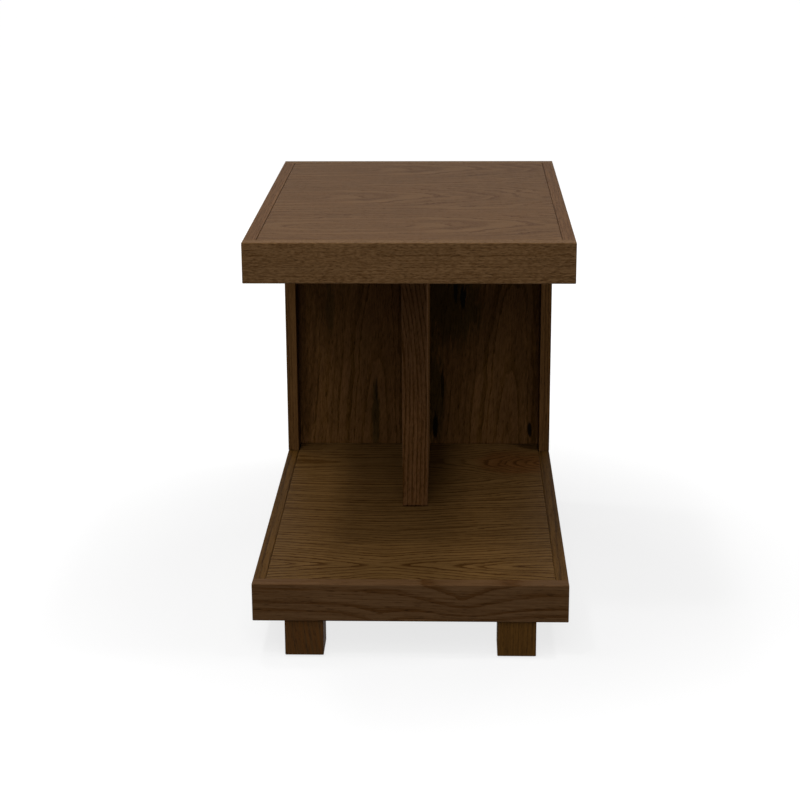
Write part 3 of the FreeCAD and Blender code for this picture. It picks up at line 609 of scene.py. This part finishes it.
# Base lippings: solid oak edging glued and planed flush round the slab. The front and back ones run the full
# width. The front one is flat-sawn, so that its rings flow in long curves with a dip right of the middle.
BASE_LIPPINGS = [f"base_{side}_lipping" for side in ("front", "left", "right", "back")]
base_walls = box_round(*BASE_LIPPINGS)
flowing_oak = oak(
    "flat_sawn_oak_base_front", (-150, -300, 29), (1, 0, -0.02), 15.0, 5.0, "#573F28", "#432A12", "#2F1C0A",
    wander=3, flame=2.4, contrast=0.65, cloud=0.06, pore_size=(14, 1.1), fibre=1.1, uneven=0.4,
    swells=[((67, -304, 82), (120, 90, 70), 26), ((-40, -304, 52), (70, 80, 45), 16)],
)
side_oak = oak(
    "straight_oak_base_sides", (0, 0, -160), (0.004, 1, 0.01), 4.2, 8.0, "#533918", "#362209", "#271605",
    wander=4, flame=0.8, contrast=0.5, cloud=0.05,
)
board("base_front_lipping", flowing_oak, base_walls)
for side in ("left", "right"):
    board(f"base_{side}_lipping", side_oak, base_walls, ["return_dowels"])
dress(flowing_oak, "base_back_lipping")


# Deck and underside: 9 mm boards veneered with oak whose grain crosses the table, let in between the
# lippings, with a shadow groove along each side. The deck's leaves are joined edge to edge across it.
SEAM_WIDTH = 1.0 * MM
SEAM_DEPTH = 1.2 * MM
deck_veneer = oak(
    "oak_veneer_deck", (-35, -237, 97), (1, 0, 0), 9.5, 17.0, "#5C4324", "#382208", "#2A1603",
    wander=12, flame=2.0, contrast=1.15, cloud=0.05, fibre=1.2, curl=6, uneven=0.35,
    leaves=[(1, 109, (60, -426, -28))],
    swells=[((-35, -237, 101), (360, 900, 300), 46), ((190, 189, 101), (200, 230, 100), -70)],
    # This reddish, darker tint over the deck's right rear is painted shade, where the deck lies under the top.
    stains_and_shades=[((150, 190, 101), (110, 110, 60), "#F5D8CA", 0.8)],
)
board(
    "base_deck", deck_veneer, base_walls, ["fin_dowels", "base_bolts"],
    grooves=(1, SEAM_WIDTH, SEAM_DEPTH),
)
dress(deck_veneer, "base_underside")


# Back panel: a 24 mm board veneered on both faces with the grain upright, doweled and bolted to the base.
# Left of the fin the flames point up between greenish streaks. Right of it the leaf has dark mineral streaks
# and a paler arch. Its colours are lighter than the other oak's, as painted light in the recess under the top,
# and the broad olive and grey tints are painted shade beside the fin, under the top and by the returns.
MINERAL = "#140F0C"
# The olive tint draws greenish streaks where it is narrow, and painted shade where it is broad.
OLIVE_STREAKS_AND_SHADE = "#98AE98"
back_veneer = oak(
    "oak_veneer_back", (-72, 281, 100), (0.06, -0.115, 1), 11.5, 21.0, "#714F2E", "#4B310B", "#352004",
    wander=8, flame=2.0, contrast=0.45, cloud=0.14, pore_size=(14, 1.1), curl=5,
    leaves=[(0, 0, (-207, 0, 20))],
    stains_and_shades=[
        ((57, 277, 350), (7, 28, 44), MINERAL, 0.97),
        ((69, 277, 338), (12, 28, 44), MINERAL, 0.98),
        ((26, 277, 130), (9, 28, 50), MINERAL, 0.95),
        ((37, 277, 200), (5, 28, 50), MINERAL, 0.7),
        ((174, 277, 126), (7, 28, 24), MINERAL, 0.95),
        ((-68, 277, 150), (13, 28, 110), OLIVE_STREAKS_AND_SHADE, 0.8),
        ((-66, 277, 190), (4, 28, 46), MINERAL, 0.6),
        ((-137, 277, 325), (14, 28, 95), OLIVE_STREAKS_AND_SHADE, 0.55),
        # These two broad olive patches are painted shade, under the top's middle and beside the fin.
        ((50, 277, 325), (100, 28, 135), OLIVE_STREAKS_AND_SHADE, 0.8),
        ((24, 277, 180), (32, 28, 155), OLIVE_STREAKS_AND_SHADE, 0.8),
        # These grey tints are painted shade in the corners beside the returns.
        ((-192, 277, 230), (80, 28, 320), "#D2CECA", 0.95),
        ((192, 277, 200), (50, 28, 300), "#D2CECA", 0.9),
    ],
)
board(
    "back_panel", back_veneer, box_round("back_panel"),
    ["base_dowels", "top_dowels", "return_dowels", "fin_dowels", "base_bolts", "base_bolt_inserts"],
)


# Returns: narrow boards of solid oak that close the upright's sides, doweled to the back panel's edges and
# to both slabs. Their front corners are eased, and the lines run straight up.
upright_walls = box_round("left_return", "right_return", "back_panel")
return_oak = oak(
    "straight_oak_returns", (0, -60, 300), (0.004, 0.004, 1), 4.0, 29.0, "#684928", "#452C13", "#311E09",
    wander=4, flame=0.7, contrast=0.8, cloud=0.08,
)
for side in ("left", "right"):
    board(f"{side}_return", return_oak, upright_walls, ["return_dowels"])


# Fin: a hollow board that stands forward from the back panel under the top's middle. A solid oak lipping
# closes its front edge, two veneered skins its sides, and stiles and rails of poplar fill it. The lipping's
# lower front edge is chamfered, which leaves a thin dark line where it meets the deck.
FIN_CHAMFER = 2.2 * MM
fin_oak = oak(
    "straight_oak_fin_front", (-90, -60, 120), (0.012, 0.02, 1), 5.0, 43.0, "#634429", "#412709", "#2E1A05",
    wander=3, flame=1.2, contrast=1.0, cloud=0.06, scales=0.35, fibre=1.0, uneven=0.2,
    swells=[((-17, -11, 460), (200, 100, 220), 26)],
)
fin_veneer = oak(
    "oak_veneer_fin_sides", (60, 130, 300), (0.01, 0.04, 1), 6.0, 53.0, "#624224", "#40280E", "#2E1B07",
    wander=10, flame=1.6, contrast=0.8, cloud=0.08,
)
board("fin_lipping", fin_oak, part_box("fin_lipping"), undercut=FIN_CHAMFER)
for side in ("left", "right"):
    board(f"fin_{side}_skin", fin_veneer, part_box("fin_lipping"))
dress(poplar_upright, "fin_front_stile", "fin_rear_stile")
dress(poplar_deep, "fin_bottom_rail", "fin_top_rail")


# Top: built as the base is, a poplar grid between two veneered skins, with solid lippings glued round it.
# Its soffit rests on the upright and is screwed down to the fin before the upper skin goes on.
TOP_LIPPINGS = [f"top_{side}_lipping" for side in ("front", "left", "right", "back")]
top_walls = box_round(*TOP_LIPPINGS)
dress(poplar_deep, "top_left_rail", "top_right_rail", "top_spine_rail")
dress(poplar_across, "top_front_rail", "top_back_rail")
dress(poplar_across, *[f"top_{side}_{end}_rib" for side in ("left", "right") for end in ("front", "back")])
soffit_veneer = oak(
    "oak_veneer_soffit", (0, 60, 455), (1, 0.02, 0.05), 7.0, 61.0, "#624623", "#3E290F", "#2D1B07",
    wander=12, flame=1.4, contrast=0.8, cloud=0.06,
)
board(
    "top_soffit", soffit_veneer, top_walls, ["top_screws", "top_dowels", "fin_dowels"],
    grooves=(-1, SEAM_WIDTH, SEAM_DEPTH),
)


# Top lippings: the front one is rift-sawn, so the rays and pores are cut across and show as a dense pattern
# of short dashes with few rings. All four are planed flush and sanded to a soft arris.
scaly_oak = oak(
    "rift_sawn_oak_top_front", (0, -150, 400), (1, 0.01, 0.012), 2.6, 3.0, "#62492F", "#452E16", "#33210E",
    wander=4, flame=0.7, contrast=0.35, cloud=0.05, scales=0.55, pore_size=(4.5, 1.0), fibre=0.6,
)
top_side_oak = oak(
    "straight_oak_top_sides", (0, 0, 380), (0.004, 1, 0.01), 4.0, 8.0, "#553B22", "#3B2410", "#2B1908",
    wander=4, flame=0.6, contrast=0.4, cloud=0.05,
)
board("top_front_lipping", scaly_oak, top_walls)
board("top_back_lipping", scaly_oak, top_walls, ["top_dowels", "return_dowels"])
for side in ("left", "right"):
    board(f"top_{side}_lipping", top_side_oak, top_walls, ["top_dowels", "return_dowels"])


# Top panel: the upper skin, veneered in three leaves with the grain across the table. The front leaf's
# flames point to the right and break into curls there, and the leaf behind it is ragged, then plain.
top_veneer = oak(
    "oak_veneer_top", (-60, -198, 538), (1, 0.03, -0.24), 11.0, 13.0, "#523B24", "#432C17", "#301E0B",
    wander=16, flame=4.0, contrast=1.25, cloud=0.08, fibre=0.6, pores=0.7, curl=13,
    leaves=[(1, -66, (120, -197, 0)), (1, 80, (-60, -225, 0))],
)
board("top_panel", top_veneer, top_walls, grooves=(1, SEAM_WIDTH, SEAM_DEPTH))


# Dowels: turned beech, 8 mm thick with bevelled ends, glued into blind holes across every joint.
# Beech is pinkish tan with short dark flecks, which are the cut ends of its rays.
BEECH_FLECK = 1.6 * MM
FLECK_EDGE = (0.58, 0.7)
turned_beech, tree = finish("turned_beech")
place = add(tree, "ShaderNodeTexCoord").outputs["Object"]
flecks = add(tree, "ShaderNodeTexNoise", None, {"Scale": 1 / BEECH_FLECK, "Detail": 2.0}, Vector=place)
fleck = add(
    tree, "ShaderNodeMapRange", None, {1: FLECK_EDGE[0], 2: FLECK_EDGE[1]}, _0=flecks.outputs["Fac"]
).outputs["Result"]
wood = add(
    tree, "ShaderNodeMix", {"data_type": "RGBA"}, {6: linear("#D8B48A"), 7: linear("#B98F64")}, _0=fleck
).outputs[2]
shader = add(tree, "ShaderNodeBsdfPrincipled", None, {"Roughness": 0.6}, Base_Color=wood)
add(tree, "ShaderNodeOutputMaterial", Surface=shader.outputs[0])
dress(turned_beech, "base_dowels", "top_dowels", "return_dowels", "fin_dowels", "foot_dowels")


# Bolts, washers, studs and screws: mild steel, cold formed and zinc plated. The plating is bright and
# slightly blue, with a soft blotchy bloom, and the threads are too fine to show.
ZINC_BLOOM = 3.0 * MM
ZINC_ROUGHNESS = (0.28, 0.48)
zinc_plate, tree = finish("zinc_plated_steel")
place = add(tree, "ShaderNodeTexCoord").outputs["Object"]
bloom = add(
    tree, "ShaderNodeTexNoise", None, {"Scale": 1 / ZINC_BLOOM, "Detail": 3.0}, Vector=place
).outputs["Fac"]
plating = add(
    tree, "ShaderNodeMix", {"data_type": "RGBA"}, {6: linear("#B4B9BE"), 7: linear("#9BA3AB")}, _0=bloom
).outputs[2]
dulling = add(
    tree, "ShaderNodeMapRange", None, {3: ZINC_ROUGHNESS[0], 4: ZINC_ROUGHNESS[1]}, _0=bloom
).outputs["Result"]
shader = add(
    tree, "ShaderNodeBsdfPrincipled", None, {"Metallic": 1.0}, Base_Color=plating, Roughness=dulling
)
add(tree, "ShaderNodeOutputMaterial", Surface=shader.outputs[0])
dress(zinc_plate, "base_bolts", "base_bolt_washers", "foot_studs", "top_screws")

# Threaded inserts: turned brass, screwed into the wood for the bolts and studs to pull against.
# Fresh from the lathe it is yellow, with fine turning lines that dull it a little.
TURNING_PITCH = 0.5 * MM
turned_brass, tree = finish("turned_brass")
place = add(tree, "ShaderNodeTexCoord").outputs["Object"]
lines = add(
    tree, "ShaderNodeMapping", {"vector_type": "POINT"}, {"Scale": (1, 1, 1 / TURNING_PITCH)}, Vector=place
)
turning = add(
    tree, "ShaderNodeTexNoise", None, {"Scale": 1.0, "Detail": 1.0}, Vector=lines.outputs["Vector"]
).outputs["Fac"]
brass = add(
    tree, "ShaderNodeMix", {"data_type": "RGBA"}, {6: linear("#C8A356"), 7: linear("#AD8840")}, _0=turning
).outputs[2]
shader = add(
    tree, "ShaderNodeBsdfPrincipled", None, {"Metallic": 1.0, "Roughness": 0.35}, Base_Color=brass
)
add(tree, "ShaderNodeOutputMaterial", Surface=shader.outputs[0])
dress(turned_brass, "base_bolt_inserts", "foot_inserts")


# Floor: a seamless white studio floor. To the camera, gloss and glass it brightens with distance until it
# meets the white air, and near the table it keeps the soft shadow.
FLOOR_SIZE = 30.0
FLOOR_NEAR_GLOW = 0.77
GLOW_START = 0.3
GLOW_END = 1.0


def seen_white(tree):
    """1 where the camera, gloss or glass looks at a surface, and 0 where it only lights the room."""
    path = add(tree, "ShaderNodeLightPath").outputs
    looked_at = add(
        tree, "ShaderNodeMath", {"operation": "MAXIMUM"}, _0=path["Is Camera Ray"], _1=path["Is Glossy Ray"]
    ).outputs[0]
    return add(
        tree, "ShaderNodeMath", {"operation": "MAXIMUM"}, _0=looked_at, _1=path["Is Transmission Ray"]
    ).outputs[0]


bpy.ops.object.select_all(action="DESELECT")
bpy.ops.mesh.primitive_plane_add(size=FLOOR_SIZE, location=(0, 0, 0))
floor = bpy.context.active_object
floor.name = "studio_floor"
white_floor, tree = finish("matt_white_floor")
place = add(tree, "ShaderNodeTexCoord").outputs["Object"]
distance = add(tree, "ShaderNodeVectorMath", {"operation": "LENGTH"}, _0=place).outputs["Value"]
glow_level = add(
    tree, "ShaderNodeMapRange", {"interpolation_type": "SMOOTHSTEP"},
    {1: GLOW_START, 2: GLOW_END, 3: FLOOR_NEAR_GLOW, 4: 1.0}, _0=distance,
).outputs["Result"]
strength = add(
    tree, "ShaderNodeMath", {"operation": "MULTIPLY"}, _0=glow_level, _1=seen_white(tree)
).outputs[0]
matt = add(tree, "ShaderNodeBsdfDiffuse", None, {"Color": linear("#737373")})
glow = add(tree, "ShaderNodeEmission", None, {"Color": linear("#FFFFFF")}, Strength=strength)
both = add(tree, "ShaderNodeAddShader", _0=matt.outputs[0], _1=glow.outputs[0])
add(tree, "ShaderNodeOutputMaterial", Surface=both.outputs[0])
floor.data.materials.append(white_floor)

# Air: white where the camera, gloss or glass sees past the floor. As a light it is nearly dark, and fills the
# shadows by a trace.
AIR_FILL = 0.015
world = bpy.data.worlds.new("studio_air")
bpy.context.scene.world = world
world.use_nodes = True
tree = world.node_tree
tree.nodes.clear()
fill = add(tree, "ShaderNodeBackground", None, {"Color": linear("#FFFFFF"), "Strength": AIR_FILL})
white = add(tree, "ShaderNodeBackground", None, {"Color": linear("#FFFFFF"), "Strength": 1.0})
air = add(tree, "ShaderNodeMixShader", Fac=seen_white(tree), _1=fill.outputs[0], _2=white.outputs[0])
add(tree, "ShaderNodeOutputWorld", Surface=air.outputs[0])

# Lamps: softboxes high in front, low at both sides and behind, and three small ones overhead. The two that
# hang left of the table throw the soft shadow of the top's left edge across the deck. Only those in front of
# the table's middle may shine in its lacquer, and the rest light its sides, back and deck without a sheen.
LIGHT_LEVEL = 0.75
SOFTBOXES = [
    ("front_low_softbox", (0.0, -2.08, 1.5), (1.0, 1.0), 20.6),
    ("front_floor_softbox", (0.0, -2.2, 0.75), (1.2, 0.4), 2.2),
    ("front_high_softbox", (0.0, -1.54, 2.14), (1.0, 1.0), 19.5),
    ("left_low_softbox", (-2.4, 0.25, 0.3), (1.2, 0.4), 6.0),
    ("right_low_softbox", (2.4, 0.25, 0.3), (1.2, 0.4), 6.0),
    ("left_softbox", (-1.33, -0.36, 2.27), (1.0, 1.0), 15.4),
    ("left_front_overhead", (-0.65, -1.0, 2.4), (0.25, 0.25), 18.0),
    ("left_back_overhead", (-0.65, 0.5, 2.4), (0.25, 0.25), 14.4),
    ("right_overhead", (0.9, -0.3, 2.4), (0.25, 0.25), 20.3),
    ("back_left_softbox", (-1.7, 2.4, 0.55), (1.0, 0.8), 34.0),
    ("back_right_softbox", (1.7, 2.4, 0.55), (1.0, 0.8), 34.0),
]
TABLE_MIDDLE = Vector((0, 0, 0.3))
for name, place, (width, height), power in SOFTBOXES:
    bpy.ops.object.light_add(type="AREA", location=place)
    lamp = bpy.context.active_object
    lamp.name = name
    lamp.rotation_euler = (TABLE_MIDDLE - Vector(place)).to_track_quat("-Z", "Y").to_euler()
    lamp.data.shape = "RECTANGLE"
    lamp.data.size = width
    lamp.data.size_y = height
    lamp.data.energy = power * LIGHT_LEVEL
    in_front = place[1] < TABLE_MIDDLE.y
    lamp.visible_glossy = in_front
